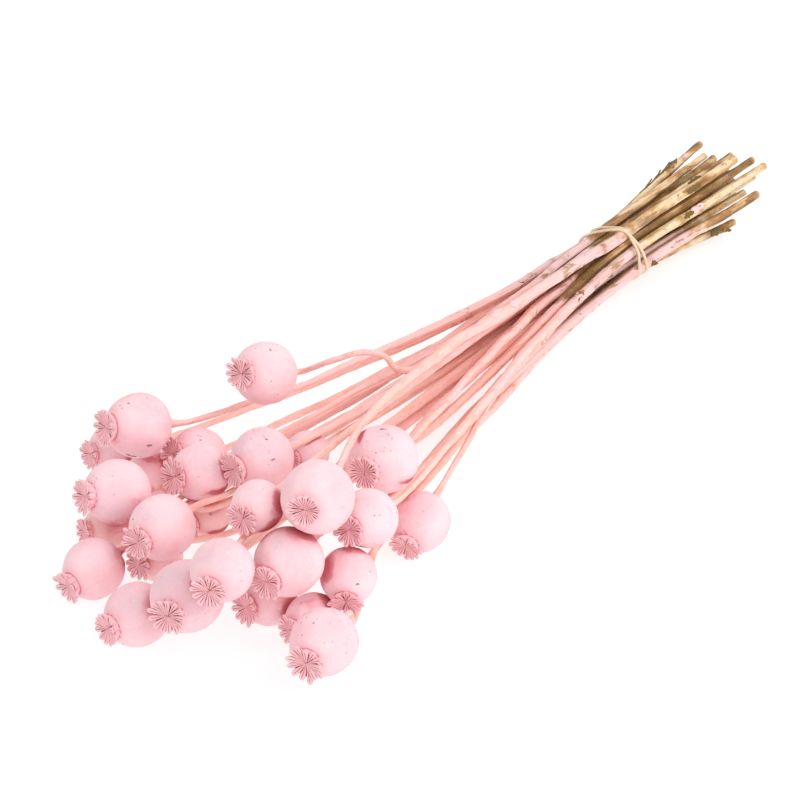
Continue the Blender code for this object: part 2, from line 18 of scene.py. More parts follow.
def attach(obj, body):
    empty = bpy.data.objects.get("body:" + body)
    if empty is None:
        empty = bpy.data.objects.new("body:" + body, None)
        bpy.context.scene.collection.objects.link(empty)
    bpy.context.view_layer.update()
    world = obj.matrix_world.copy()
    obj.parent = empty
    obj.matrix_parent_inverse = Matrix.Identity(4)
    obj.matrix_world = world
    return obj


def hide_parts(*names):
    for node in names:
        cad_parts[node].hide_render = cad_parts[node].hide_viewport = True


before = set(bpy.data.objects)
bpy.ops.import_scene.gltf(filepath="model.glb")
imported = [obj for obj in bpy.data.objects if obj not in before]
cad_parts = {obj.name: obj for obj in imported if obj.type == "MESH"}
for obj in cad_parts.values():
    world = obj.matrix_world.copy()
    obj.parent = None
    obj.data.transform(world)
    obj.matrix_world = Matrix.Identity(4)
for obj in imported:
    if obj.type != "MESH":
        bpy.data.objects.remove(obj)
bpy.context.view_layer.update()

bl_info = {
    "name": "Painted poppy seed heads",
    "version": (1, 0, 0),
    "blender": (4, 5, 0),
    "location": "3D View > Sidebar > Poppies",
    "description": "Dresses a tied bunch of dried, painted poppy seed heads",
    "category": "Object",
}

MM = 0.001
SEED = 11
POPPY_NODES = sorted(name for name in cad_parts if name.startswith("poppy_"))
BAND_NODE = "elastic_band"

# How the solids are made: rings of points along the tubes, and the heads' shares of their radius
DOUBLES = 0.005 * MM
STEM_RINGS = 15
END_REACH = 8 * MM
BAND_SHORT_EDGE = 1.6 * MM
CROWN_TOP_SHARE = 1.25
CROWN_MARGINS = (0.25, 0.25, 0.25, 0.05)
CROWN_INNER_SHARE = 0.3
FOOT_SHARE = 1.10
HEAD_PROFILE = np.array((
    (0.23, -0.97),
    (0.60, -0.79),
    (0.91, -0.42),
    (1.00, 0.02),
    (0.90, 0.48),
    (0.57, 0.89),
    (0.19, 1.03),
    (0.01, 1.05),
))
NECK_PROFILE = np.array(((0.13, -1.16), (0.15, -1.06)))

# How fine the pieces are
HEAD_AROUND = 72
HEAD_ALONG = 40
RAY_TOP = 13
RAY_UNDER = 4
RAY_ALONG = 18
DISH_STEPS = 24
STEM_STEP = 3.2 * MM
STEM_SIDES = 16
SCRAP_ALONG = 14
SCRAP_AROUND = 12
ROUTE_STEPS = 200
BAND_STEPS = 3
BAND_SIDES = 10
SHARP_ANGLE = math.radians(50)

# The unpainted ends: each stem's tone, from straw at 0 to dark olive at 1, and the X where its
# paint ends
STEM_TONES = {
    "01": (0.55, 0.17), "02": (0.42, 0.18), "04": (0.72, 0.15), "08": (0.80, 0.13),
    "09": (0.95, 0.085), "10": (0.50, 0.25), "11": (0.60, 0.27), "13": (0.88, 0.14),
    "14": (0.78, 0.11), "15": (0.38, 0.16), "16": (0.70, 0.12), "17": (0.12, 0.17),
    "18": (0.35, 0.19), "19": (0.70, 0.22), "20": (0.30, 0.12), "21": (0.45, 0.14),
    "22": (0.60, 0.13), "23": (0.38, 0.22), "26": (0.92, 0.08),
}
OTHER_TONES = (0.15, 0.95)
OTHER_PAINT_ENDS = (0.10, 0.22)

# Places on heads, seen from the picture's camera: the head, how far right and up of its middle as
# shares of its radius, and the size in millimetres
# Greyish patches of painted shade where neighbouring heads shade a head, such as head 08's top
# under head 10
SHADE_PATCH_PLACES = (
    ("08", -0.45, 0.55, 9), ("08", 0.45, 0.10, 7), ("10", -0.35, 0.30, 4), ("09", -0.30, 0.45, 5),
    ("13", 0.10, 0.45, 8), ("13", 0.55, -0.10, 5), ("20", -0.20, 0.55, 5), ("18", 0.25, 0.55, 6),
    ("02", 0.35, -0.60, 6), ("15", 0.45, 0.30, 5), ("07", -0.10, 0.45, 6), ("04", 0.10, -0.75, 8),
    ("17", 0.0, 0.60, 5), ("16", 0.0, 0.75, 7), ("23", 0.3, 0.5, 6), ("11", 0.5, 0.2, 6),
)
DARK_MARKS = (
    ("02", -0.24, 0.66, 1.7), ("02", 0.31, -0.62, 1.6), ("02", 0.42, -0.60, 1.3),
    ("02", -0.30, -0.86, 2.6), ("02", -0.10, -0.92, 2.0), ("01", 0.70, 0.05, 1.3),
    ("01", 0.62, -0.15, 1.2), ("24", 0.20, 0.05, 2.2), ("20", 0.05, 0.15, 1.1),
    ("20", 0.10, -0.75, 1.3), ("13", 0.15, 0.60, 1.6), ("13", 0.02, 0.72, 1.3),
    ("13", 0.30, -0.05, 1.5), ("13", 0.42, -0.02, 1.2), ("16", -0.10, 0.86, 1.7),
    ("16", 0.05, 0.84, 1.4), ("16", 0.75, -0.10, 1.2), ("22", -0.45, 0.62, 1.4),
    ("18", 0.05, 0.35, 1.3), ("12", 0.10, 0.55, 1.5), ("23", 0.15, 0.62, 1.3),
    ("10", 0.05, 0.25, 1.1),
)
PEACH_HEADS = ("24", "05", "25")

# The band is drawn in towards the stems this often and this strongly, and its middle line stays
# this share of its radius away from them
BAND_PULLS = 160
BAND_PULL_SHARE = 0.8
BAND_PRESS_SHARE = 0.8

# The stems: slimmer near the head and from a share of their length on, with a collar under the
# head, knots, and a hole in the cut end
SLIM_RUN = (50 * MM, 200 * MM)
SLIM_END_FROM = 0.82
COLLAR_REACH = 2.6 * MM
KNOT_COUNT = 5
END_WALL_SHARE = 0.36
END_DEPTH_SHARE = 1.1

# How deep a place lies between its neighbours, for the painted shade: the ways looked out,
# how far, from how far above, and how little a way may rise from the surface
SHADE_WAYS = 26
SHADE_REACH = 45 * MM
SHADE_LIFT = 1.6 * MM
SHADE_RISE = 0.25

# The picture's camera
AZIMUTH = math.radians(-48.5)
ELEVATION = math.radians(34)
FOCAL_PX = 2620
PICTURE_PX = 800
SENSOR = 36
VIEW_END = 20

# The studio
WHITE = (1, 1, 1, 1)
FLOOR_GREY = (0.32, 0.32, 0.32, 1)
FLOOR_DROP = 0.2 * MM
KEY_PLACE = (0.0, -1.3, 1.4)
KEY_AIM = (0, 0, 0.03)
KEY_SIZE = 1.6


def normal_of(vector):
    return vector / np.linalg.norm(vector)


def camera_axes(azimuth=AZIMUTH, elevation=ELEVATION):
    """Which ways are right, up and backwards for a camera that stands there."""
    level = math.cos(elevation)
    back = np.array((math.sin(azimuth) * level, -math.cos(azimuth) * level, math.sin(elevation)))
    right = np.array((math.cos(azimuth), math.sin(azimuth), 0))
    return right, np.cross(back, right), back


def smooth_step(value, low, high):
    share = np.clip((value - low) / (high - low), 0, 1)
    return share * share * (3 - 2 * share)


def bell(value, middle, width):
    return np.exp(-(((value - middle) / width) ** 2))


def run_lengths(points):
    """How far along a route each of its points lies."""
    return np.concatenate(((0,), np.cumsum(np.linalg.norm(np.diff(points, axis=0), axis=1))))


def turns_round(count):
    return np.arange(count) / count * math.tau


def turned_rows(across, heights, turns):
    """Rows of points that run round the Z axis, at distances across it and at heights."""
    return np.stack((across * np.cos(turns), across * np.sin(turns), heights + 0 * turns), axis=2)


def smooth_route(points, count, closed=False):
    """Points spread evenly along the smooth curve that runs through the given points."""
    if closed:
        points = np.concatenate((points[-2:], points, points[:3]))
    lengths = np.linalg.norm(np.diff(points, axis=0), axis=1)
    knots = np.concatenate(((0,), np.cumsum(lengths)))
    slopes = np.gradient(points, knots, axis=0)
    low, high = (knots[2], knots[-3]) if closed else (0, knots[-1])
    spots = np.linspace(low, high, count, endpoint=not closed)
    step = np.clip(np.searchsorted(knots, spots, side="right") - 1, 0, len(lengths) - 1)
    span = lengths[step][:, None]
    t = ((spots - knots[step]) / lengths[step])[:, None]
    return (
        (2 * t**3 - 3 * t**2 + 1) * points[step]
        + (t**3 - 2 * t**2 + t) * span * slopes[step]
        + (3 * t**2 - 2 * t**3) * points[step + 1]
        + (t**3 - t**2) * span * slopes[step + 1]
    )


class Scrap(NamedTuple):
    """A dry leaf scrap: its stem, how far along and round it, its size and lift in millimetres."""

    stem: str
    along: float
    turn: float
    length: float
    width: float
    lift: float
    dry: float


SCRAPS = [Scrap(*values) for values in (
    ("02", 0.860, -55, 18, 5.0, 1.4, 1), ("02", 0.885, -60, 20, 6.0, 1.8, 1),
    ("02", 0.910, -40, 16, 5.5, 1.4, 1), ("02", 0.928, -10, 12, 5.0, 1.0, 1),
    ("02", 0.955, 30, 6, 3.0, 0.8, 0.4), ("22", 0.955, 70, 9, 4.0, 3.0, 1),
    ("22", 0.975, 100, 7, 3.5, 2.5, 1), ("23", 0.80, 90, 5, 5.0, 3.0, 0.9),
    ("17", 0.845, 40, 14, 4.0, 0.6, 0.1), ("17", 0.825, 50, 10, 3.5, 0.5, 1),
    ("20", 0.87, 10, 12, 5.0, 1.0, 0.9), ("15", 0.905, 60, 12, 4.0, 0.8, 1),
    ("14", 0.915, 40, 12, 4.0, 0.8, 1), ("15", 0.458, 20, 8, 4.0, 2.6, 0.1),
    ("15", 0.505, 30, 10, 4.5, 0.8, 0.2), ("02", 0.555, 60, 10, 4.0, 1.0, 0.7),
    ("17", 0.559, 20, 12, 5.0, 0.9, 0.5), ("20", 0.61, 10, 12, 5.0, 0.9, 0.7),
    ("19", 0.642, 10, 10, 4.5, 1.0, 0.6), ("20", 0.472, 30, 10, 5.0, 2.2, 0.3),
    ("23", 0.546, -20, 8, 4.0, 2.6, 0.2), ("09", 0.68, 20, 12, 4.0, 0.7, 0.9),
    ("16", 0.66, 10, 10, 4.0, 0.7, 0.8), ("08", 0.90, 20, 10, 5.0, 1.2, 0.9),
    ("13", 0.42, 30, 9, 3.5, 1.2, 0.1), ("06", 0.60, 60, 8, 3.5, 1.0, 0.3),
    ("25", 0.50, -40, 8, 4.0, 1.6, 0.2), ("18", 0.55, -60, 9, 4.0, 1.4, 0.2),
)]


class Solid:
    """A node's points without their doubles, and which points share an edge."""

    def __init__(self, node):
        work = bmesh.new()
        work.from_mesh(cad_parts[node].data)
        bmesh.ops.remove_doubles(work, verts=work.verts, dist=DOUBLES)
        work.verts.index_update()
        self.points = np.array([vertex.co[:] for vertex in work.verts])
        self.joined = [
            [edge.other_vert(vertex).index for edge in vertex.link_edges] for vertex in work.verts
        ]
        work.free()

    def next_ring(self, ring, before):
        return {other for point in ring for other in self.joined[point]} - ring - before

    def middles(self, rings):
        return np.array([self.points[list(ring)].mean(0) for ring in rings])

    def radii(self, rings):
        middles = self.middles(rings)
        return np.array([
            np.linalg.norm(self.points[list(ring)] - middle, axis=1).mean()
            for ring, middle in zip(rings, middles)
        ])


class PoppyPlan:
    """Where a poppy's head, crown and stem are, measured from its solid."""

    def __init__(self, node):
        solid = Solid(node)
        end = solid.points[solid.points[:, 0].argmax()]
        ring = set(np.flatnonzero(np.linalg.norm(solid.points - end, axis=1) < END_REACH))
        rings = [ring]
        before = set()
        while len(rings) < STEM_RINGS:
            before, ring = ring, solid.next_ring(ring, before)
            rings.append(ring)
        rings.reverse()
        self.number = node[-2:]
        self.stem = solid.middles(rings)
        self.stem_radii = solid.radii(rings)
        head = np.delete(solid.points, sorted(set().union(*rings)), axis=0)
        self.measure_head(head, self.stem[0])

    def measure_head(self, points, neck):
        """The head's radius, middle and axis, and the crown's ray tips."""
        axis = normal_of(points.mean(0) - neck)
        for margin in CROWN_MARGINS:
            along = (points - neck) @ axis
            across = np.linalg.norm(points - neck - along[:, None] * axis, axis=1)
            self.radius = across.max()
            on_top = along > along.max() - margin * self.radius
            tips = points[on_top & (across > CROWN_INNER_SHARE * self.radius)]
            axis = normal_of(tips.mean(0) - neck)
        self.axis = axis
        self.middle = tips.mean(0) - axis * CROWN_TOP_SHARE * self.radius
        self.crown_share = np.linalg.norm(tips - tips.mean(0), axis=1).mean() / self.radius
        self.rays = len(tips)
        first = tips[0] - self.middle
        side = normal_of(first - axis * (first @ axis))
        turn = np.stack((side, np.cross(axis, side), axis), axis=1)
        self.pose = Matrix(turn.tolist()).to_4x4()
        self.pose.translation = Vector(self.middle)


class Surroundings:
    """The poppies' solids, to tell how much of its outlook a place loses to neighbours, for painted
    shade.
    """

    def __init__(self):
        points, faces = [], []
        for name in POPPY_NODES:
            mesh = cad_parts[name].data
            start = len(points)
            points += [vertex.co[:] for vertex in mesh.vertices]
            faces += [[start + corner for corner in face.vertices] for face in mesh.polygons]
        self.tree = BVHTree.FromPolygons(points, faces)
        count = np.arange(SHADE_WAYS)
        height = 1 - 2 * (count + 0.5) / SHADE_WAYS
        turn = count * math.pi * (3 - math.sqrt(5))
        flat = np.sqrt(1 - height**2)
        self.ways = np.stack((flat * np.cos(turn), flat * np.sin(turn), height), axis=1)

    def lost_view(self, place, normal):
        """The share of the outlook that is blocked, the near things counting most."""
        facing = self.ways @ np.array(normal)
        start = place + normal * SHADE_LIFT
        blocked = 0.0
        for which in np.flatnonzero(facing > SHADE_RISE):
            way = Vector(self.ways[which])
            distance = self.tree.ray_cast(start, way, SHADE_REACH)[3]
            if distance is not None:
                blocked += facing[which] * (1 - distance / SHADE_REACH)
        return blocked / facing[facing > SHADE_RISE].sum()

    def crown_shade(self, plan):
        """The lost outlook in front of a head's crown."""
        top = Vector(plan.middle + plan.axis * plan.radius * CROWN_TOP_SHARE)
        return self.lost_view(top, Vector(plan.axis))

    def shade(self, mesh):
        """Keeps the lost outlook of every point as an attribute, the strength of its painted shade.
        """
        lost = [self.lost_view(vertex.co, vertex.normal) for vertex in mesh.vertices]
        keep_values(mesh, "shade", lost)


def pulled_tight(points, radius):
    """The band's route drawn in like stretched rubber, as far as the stems let it; X stays."""
    stems = Surroundings().tree
    points = points.copy()
    for _ in range(BAND_PULLS):
        middles = (np.roll(points, 1, 0) + np.roll(points, -1, 0)) / 2
        points[:, 1:] += BAND_PULL_SHARE * (middles - points)[:, 1:]
        for place in points:
            spot, normal, _, _ = stems.find_nearest(Vector(place))
            lift = radius - (Vector(place) - spot) @ normal
            if lift > 0:
                place[1:] += np.array(normal)[1:] * lift
    return points


def band_route():
    """The band's middle line, ring after ring round its solid."""
    solid = Solid(BAND_NODE)
    points = solid.points
    ring_of = np.full(len(points), -1)
    rings = []
    for start in range(len(points)):
        if ring_of[start] >= 0:
            continue
        ring, fresh = set(), {start}
        while fresh:
            ring |= fresh
            fresh = {
                other
                for point in fresh
                for other in solid.joined[point]
                if np.linalg.norm(points[point] - points[other]) < BAND_SHORT_EDGE
            } - ring
        ring_of[list(ring)] = len(rings)
        rings.append(ring)
    order, before = [0], -1
    while len(order) < len(rings):
        beside = {ring_of[other] for point in rings[order[-1]] for other in solid.joined[point]}
        beside -= {order[-1], before}
        before = order[-1]
        order.append(min(beside))
    rings = [rings[place] for place in order]
    return solid.middles(rings), solid.radii(rings)


class Value:
    """A shader socket that Python's arithmetic works on."""

    def __init__(self, looks, socket):
        self.looks = looks
        self.socket = socket

    def math(self, operation, *values):
        return self.looks.node("ShaderNodeMath", {"operation": operation}, dict(enumerate(values)))

    def __add__(self, other):
        return self.math("ADD", self, other)

    def __sub__(self, other):
        return self.math("SUBTRACT", self, other)

    def __mul__(self, other):
        return self.math("MULTIPLY", self, other)

    def at_least(self, other):
        return self.math("MAXIMUM", self, other)

    __radd__ = __add__
    __rmul__ = __mul__


class Looks:
    """One material and the nodes that paint it."""

    def __init__(self, name, roughness):
        self.material = bpy.data.materials.new(name)
        self.material.use_nodes = True
        self.tree = self.material.node_tree
        self.shader = self.tree.nodes["Principled BSDF"]
        self.shader.inputs["Roughness"].default_value = roughness
        self.shader.inputs["Specular IOR Level"].default_value = 0.15
        self.place = self.node("ShaderNodeTexCoord", {}, {}, "Object")

    def node(self, kind, settings, sockets, output=0):
        """Adds a node with its settings and its sockets' values or links."""
        node = self.tree.nodes.new(kind)
        for name, value in settings.items():
            setattr(node, name, value)
        for name, value in sockets.items():
            if isinstance(value, Value):
                self.tree.links.new(value.socket, node.inputs[name])
            else:
                node.inputs[name].default_value = value
        return Value(self, node.outputs[output])

    def noise(self, per_metre, detail=3, rough=0.5, stretch=(1, 1, 1)):
        place = self.node("ShaderNodeMapping", {}, {"Vector": self.place, "Scale": stretch})
        sockets = {"Vector": place, "Scale": per_metre, "Detail": detail, "Roughness": rough}
        return self.node("ShaderNodeTexNoise", {}, sockets)

    def attribute(self, name):
        return self.node("ShaderNodeAttribute", {"attribute_name": name}, {}, "Fac")

    def between(self, value, low, high):
        """0 below low and 1 above high, with a smooth run between them."""
        sockets = {"Value": value, "From Min": low, "From Max": high}
        return self.node("ShaderNodeMapRange", {"interpolation_type": "SMOOTHSTEP"}, sockets)

    def blend(self, share, one, two):
        sockets = {"Factor": share, 6: one, 7: two}
        return self.node("ShaderNodeMix", {"data_type": "RGBA"}, sockets, 2)

    def covered(self, base, layers):
        """The base with each layer's colour over it, as far as the layer's share lets it show."""
        for share, colour in layers:
            base = self.blend(share, base, colour)
        return base

    def colour(self, value):
        self.tree.links.new(value.socket, self.shader.inputs["Base Color"])

    def bump(self, height, distance, strength):
        sockets = {"Height": height, "Distance": distance, "Strength": strength}
        bumps = self.node("ShaderNodeBump", {}, sockets)
        self.tree.links.new(bumps.socket, self.shader.inputs["Normal"])


def capsule_paint(colours):
    """Chalky paint on a capsule: blotches, thin greyish places, scuffs, and painted shade between
    heads and in hollows.
    """
    looks = Looks("capsule_paint", 0.92)
    soft = looks.between(looks.noise(55, 2), 0.35, 0.68)
    chalk = looks.noise(420, 4, 0.65)
    rough = looks.noise(38, 4, 0.6)
    base = looks.blend(soft, colours.paint_light, colours.paint_mid)
    # Painted shade: greyish patches at the listed places, added to thin paint that comes at random
    shade_patches = looks.attribute("thin") * looks.between(chalk, 0.30, 0.55)
    thin = looks.between(rough, 0.56, 0.70) * 0.55 + shade_patches
    cluster = looks.between(looks.noise(30), 0.46, 0.62)
    scuff = looks.between(looks.noise(190, 5, 0.72, (1, 1, 2.6)), 0.645, 0.70) * cluster
    speck = looks.between(looks.noise(480, 2, 0.5), 0.69, 0.74) * cluster
    mark = looks.attribute("mark") + (chalk - 0.5) * 0.9
    # Painted shade from the lost outlook, lessened near the top where the head's own crown hides it
    shade = looks.attribute("shade") - looks.attribute("top") * 0.4
    looks.colour(looks.covered(base, (
        (looks.attribute("peach") * 0.8, colours.stem_pink),
        (looks.between(chalk, 0.45, 0.75) * 0.35, colours.paint_pale),
        (thin * 0.75, colours.paint_thin_and_shade),
        (scuff * 0.5, colours.stain),
        (speck * 0.75, colours.speck),
        (looks.between(mark, 0.55, 0.95) * 0.85, colours.scar),
        # Painted shade: rose, then crimson, where neighbouring heads hide the outlook
        (looks.between(shade, 0.10, 0.50) * 0.5, colours.shade_rose),
        (looks.between(shade, 0.30, 0.70) * 0.8, colours.shade_crimson),
        # Painted shade in the hollow under the crown, at the neck and in the rib grooves
        (looks.attribute("hollow") * 0.35, colours.crease),
    )))
    grain = looks.noise(1300, 3, 0.6)
    wrinkle = looks.noise(150, 5, 0.65)
    looks.bump(chalk * 0.5 + grain * 0.3 + wrinkle * 0.9 - speck * 0.5 - scuff * 0.4, 0.7 * MM, 0.8)
    return looks.material


def crown_paint(colours):
    """Paint on a crown: pale crests, with painted shade in the mauve creases between and beside
    them.
    """
    looks = Looks("crown_paint", 0.95)
    crease = looks.attribute("crease")
    grain = looks.noise(900, 3, 0.65)
    patch = looks.between(looks.noise(130, 3), 0.4, 0.65)
    base = looks.blend(patch, colours.crown, colours.paint_mid)
    # Painted shade: mauve in the creases between the rays, in each ray's middle groove and under
    # the rays
    dark = looks.between(crease + (grain - 0.5) * 0.6, 0.38, 0.75)
    looks.colour(looks.covered(base, (
        # Painted shade, rose where neighbouring heads hide the crown
        (looks.between(looks.attribute("shade"), 0.10, 0.50) * 0.7, colours.shade_rose),
        (dark * 0.9, colours.crease),
    )))
    looks.bump(grain, 0.35 * MM, 0.6)
    return looks.material


def stem_paint(colours):
    """Paint on the stems, peach in the fan and lilac near the tie, the bare stems past it, and
    painted shade between them.
    """
    looks = Looks("stem_paint", 0.85)
    streak = looks.noise(260, 4, 0.6, (0.08, 1, 1))
    fine = looks.noise(900, 3, 0.6, (0.12, 1, 1))
    blotch = looks.noise(70, 4, 0.6, (0.5, 1, 1))
    each = looks.noise(45, 1, 0.5, (0.12, 1, 1))
    east = looks.node("ShaderNodeSeparateXYZ", {}, {"Vector": looks.place}, "X")
    paint = looks.blend(looks.between(each, 0.35, 0.65), colours.stem_peach, colours.stem_pink)
    lines = looks.between(streak, 0.48, 0.66) * 0.55 + looks.between(fine, 0.50, 0.64) * 0.4
    paint = looks.covered(paint, (
        (looks.between(east, 0.02, 0.14) * 0.8, colours.stem_lilac), (lines, colours.stem_deep),
    ))
    uneven = looks.between(blotch, 0.36, 0.64) * 0.9 + looks.between(streak, 0.38, 0.62) * 0.6
    tone = looks.attribute("tone") + uneven - 0.75
    bare = looks.blend(looks.between(tone, 0.0, 0.35), colours.bare_straw, colours.bare_tan)
    bare = looks.covered(bare, (
        (looks.between(tone, 0.35, 0.75), colours.bare_brown),
        (looks.between(tone, 0.75, 1.1), colours.bare_olive_and_shade),
    ))
    reach = east - looks.attribute("paint_end") + (blotch - 0.5) * 0.16 + (streak - 0.5) * 0.06
    worn = looks.between(reach, -0.018, 0.012)
    scuffed = looks.between(blotch + (fine - 0.5) * 0.4, 0.60, 0.67)
    scuffed = scuffed * looks.between(east, -0.03, 0.10)
    base = looks.blend(worn.at_least(scuffed * 0.85) * 0.94, paint, bare)
    spot = looks.between(looks.noise(170, 4, 0.65, (0.5, 1, 1)), 0.60, 0.69)
    dusty = looks.between(looks.noise(120, 4, 0.7, (0.4, 1, 1)), 0.50, 0.62)
    knot = looks.attribute("knot") * (0.1 + 0.6 * looks.between(east, 0.05, 0.16))
    # Painted shade between the stems: ember in the fan, dark olive near the tie
    gap_shade = looks.blend(looks.between(east, 0.05, 0.15), colours.shade_ember, colours.bare_olive_and_shade)
    looks.colour(looks.covered(base, (
        (spot * looks.between(east, 0.0, 0.14) * 0.8, colours.bare_olive_and_shade),
        (dusty * looks.between(east, 0.02, 0.12) * 0.25, colours.bare_grey),
        (knot, colours.bare_brown),
        (looks.between(looks.attribute("shade"), 0.30, 0.85) * 0.65, gap_shade),
        (looks.attribute("hollow") * 0.9, colours.pith),
    )))
    looks.bump(streak * 0.6 + fine * 0.5 + blotch * 0.5, 0.5 * MM, 0.75)
    return looks.material


def band_rubber(colours):
    looks = Looks("band_rubber", 0.55)
    dust = looks.noise(500, 3, 0.6)
    looks.colour(looks.blend(looks.between(dust, 0.4, 0.7), colours.band, colours.band_dusty))
    looks.bump(dust, 0.15 * MM, 0.5)
    return looks.material


def leaf_dry(colours):
    """Crumpled dry leaf, and the same leaf under paint."""
    looks = Looks("dry_leaf", 0.9)
    vein = looks.noise(240, 4, 0.6, (0.3, 1, 1))
    patch = looks.noise(160, 3, 0.6)
    dry = looks.blend(looks.between(vein, 0.4, 0.65), colours.leaf, colours.bare_olive_and_shade)
    dry = looks.blend(looks.between(patch, 0.55, 0.68) * 0.7, dry, colours.bare_tan)
    shown = looks.between(looks.attribute("dry") + (patch - 0.5) * 0.8, 0.35, 0.55)
    looks.colour(looks.blend(shown, colours.stem_pink, dry))
    looks.bump(vein, 0.5 * MM, 0.8)
    return looks.material


def floor_white(glow):
    looks = Looks("floor_white", 0.9)
    looks.shader.inputs["Base Color"].default_value = FLOOR_GREY
    looks.shader.inputs["Emission Color"].default_value = WHITE
    looks.shader.inputs["Emission Strength"].default_value = glow
    return looks.material


def new_tree(name, inputs):
    """A Geometry Nodes tree with a geometry socket at both ends and the named inputs."""
    tree = bpy.data.node_groups.new(name, "GeometryNodeTree")
    face = tree.interface
    face.new_socket("Geometry", in_out="OUTPUT", socket_type="NodeSocketGeometry")
    face.new_socket("Geometry", in_out="INPUT", socket_type="NodeSocketGeometry")
    for label, kind in inputs.items():
        face.new_socket(label, in_out="INPUT", socket_type="NodeSocket" + kind)
    return tree


def feed(tree, socket, value):
    """Links a socket to another one, or gives it a plain value."""
    if isinstance(value, bpy.types.NodeSocket):
        tree.links.new(value, socket)
    else:
        socket.default_value = value


def tree_node(tree, kind, settings=None, **inputs):
    """Adds a node to a tree; double underscores in a socket's name stand for a space."""
    node = tree.nodes.new(kind)
    for name, value in (settings or {}).items():
        setattr(node, name, value)
    for name, value in inputs.items():
        feed(tree, node.inputs[name.replace("__", " ")], value)
    return node


def tree_math(tree, operation, one, two):
    node = tree_node(tree, "ShaderNodeMath", {"operation": operation})
    feed(tree, node.inputs[0], one)
    feed(tree, node.inputs[1], two)
    return node.outputs[0]


def tree_scale(tree, vector, factor):
    node = tree_node(tree, "ShaderNodeVectorMath", {"operation": "SCALE"}, Scale=factor)
    feed(tree, node.inputs[0], vector)
    return node.outputs[0]


def tree_chance(tree, low, high, seed):
    """A random number for each point or copy."""
    node = tree_node(tree, "FunctionNodeRandomValue", {"data_type": "FLOAT"}, Seed=seed)
    feed(tree, node.inputs[2], low)
    feed(tree, node.inputs[3], high)
    return node.outputs[1]


def finish_tree(tree, geometry, material):
    """Ends a tree: the copies are made real and get their material."""
    real = tree_node(tree, "GeometryNodeRealizeInstances", Geometry=geometry)
    done = tree_node(tree, "GeometryNodeSetMaterial", Geometry=real.outputs[0], Material=material)
    ending = tree.nodes.new("NodeGroupOutput")
    tree.links.new(done.outputs[0], ending.inputs[0])


def tube_tree():
    """A ridged, uneven tube along a route, with its tone and the end of its paint as attributes."""
    tree = new_tree("Ridged tube", {
        "Sides": "Int", "Ridges": "Float", "Unevenness": "Float", "Tone": "Float",
        "Paint end": "Float", "Seed": "Int", "Material": "Material",
    })
    given = tree.nodes.new("NodeGroupInput").outputs
    circle = tree_node(
        tree, "GeometryNodeCurvePrimitiveCircle", Resolution=given["Sides"], Radius=1.0
    )
    low = tree_math(tree, "MULTIPLY", given["Ridges"], -1)
    ridge = tree_chance(tree, low, given["Ridges"], given["Seed"])
    position = tree_node(tree, "GeometryNodeInputPosition").outputs[0]
    shift = tree_scale(tree, position, ridge)
    profile = tree_node(tree, "GeometryNodeSetPosition", Geometry=circle.outputs[0], Offset=shift)
    radius = tree_node(tree, "GeometryNodeInputRadius")
    tube = tree_node(
        tree, "GeometryNodeCurveToMesh", Curve=given["Geometry"],
        Profile__Curve=profile.outputs[0], Scale=radius.outputs[0], Fill__Caps=True,
    )
    bumps = tree_node(tree, "ShaderNodeTexNoise", Scale=110.0, Detail=3.0).outputs[0]
    height = tree_math(tree, "SUBTRACT", bumps, 0.5)
    height = tree_math(tree, "MULTIPLY", height, given["Unevenness"])
    swell = tree_scale(tree, tree_node(tree, "GeometryNodeInputNormal").outputs[0], height)
    kept = tree_node(tree, "GeometryNodeSetPosition", Geometry=tube.outputs[0], Offset=swell)
    for label, name in (("Tone", "tone"), ("Paint end", "paint_end")):
        kept = tree_node(
            tree, "GeometryNodeStoreNamedAttribute", {"data_type": "FLOAT", "domain": "POINT"},
            Geometry=kept.outputs[0], Name=name, Value=given[label],
        )
    finish_tree(tree, kept.outputs[0], given["Material"])
    return tree


def rays_tree():
    """Copies of one ray round the Z axis, each turned, tipped and stretched a little."""
    tree = new_tree("Crown rays", {
        "Count": "Int", "Unevenness": "Float", "Tip": "Float", "Seed": "Int",
        "Material": "Material",
    })
    given = tree.nodes.new("NodeGroupInput").outputs
    points = tree_node(tree, "GeometryNodePoints", Count=given["Count"])
    index = tree_node(tree, "GeometryNodeInputIndex")

    def chance(low, high, seed_shift):
        return tree_chance(tree, low, high, tree_math(tree, "ADD", given["Seed"], seed_shift))

    def times(one, two):
        return tree_math(tree, "MULTIPLY", one, two)

    def plus(one, two):
        return tree_math(tree, "ADD", one, two)

    turn = tree_math(tree, "DIVIDE", index.outputs[0], given["Count"])
    around = plus(times(turn, math.tau), times(chance(-0.03, 0.03, 1), given["Unevenness"]))
    tipped = times(chance(-1.0, 1.0, 2), given["Tip"])
    angles = tree_node(tree, "ShaderNodeCombineXYZ", Y=tipped, Z=around)
    turned = tree_node(tree, "FunctionNodeEulerToRotation", Euler=angles.outputs[0])
    longer = plus(times(chance(-0.09, 0.08, 3), given["Unevenness"]), 1.0)
    wider = plus(times(chance(-0.10, 0.04, 4), given["Unevenness"]), 1.0)
    size = tree_node(tree, "ShaderNodeCombineXYZ", X=longer, Y=wider, Z=1.0)
    copies = tree_node(
        tree, "GeometryNodeInstanceOnPoints", Points=points.outputs[0],
        Instance=given["Geometry"], Rotation=turned.outputs[0], Scale=size.outputs[0],
    )
    finish_tree(tree, copies.outputs[0], given["Material"])
    return tree


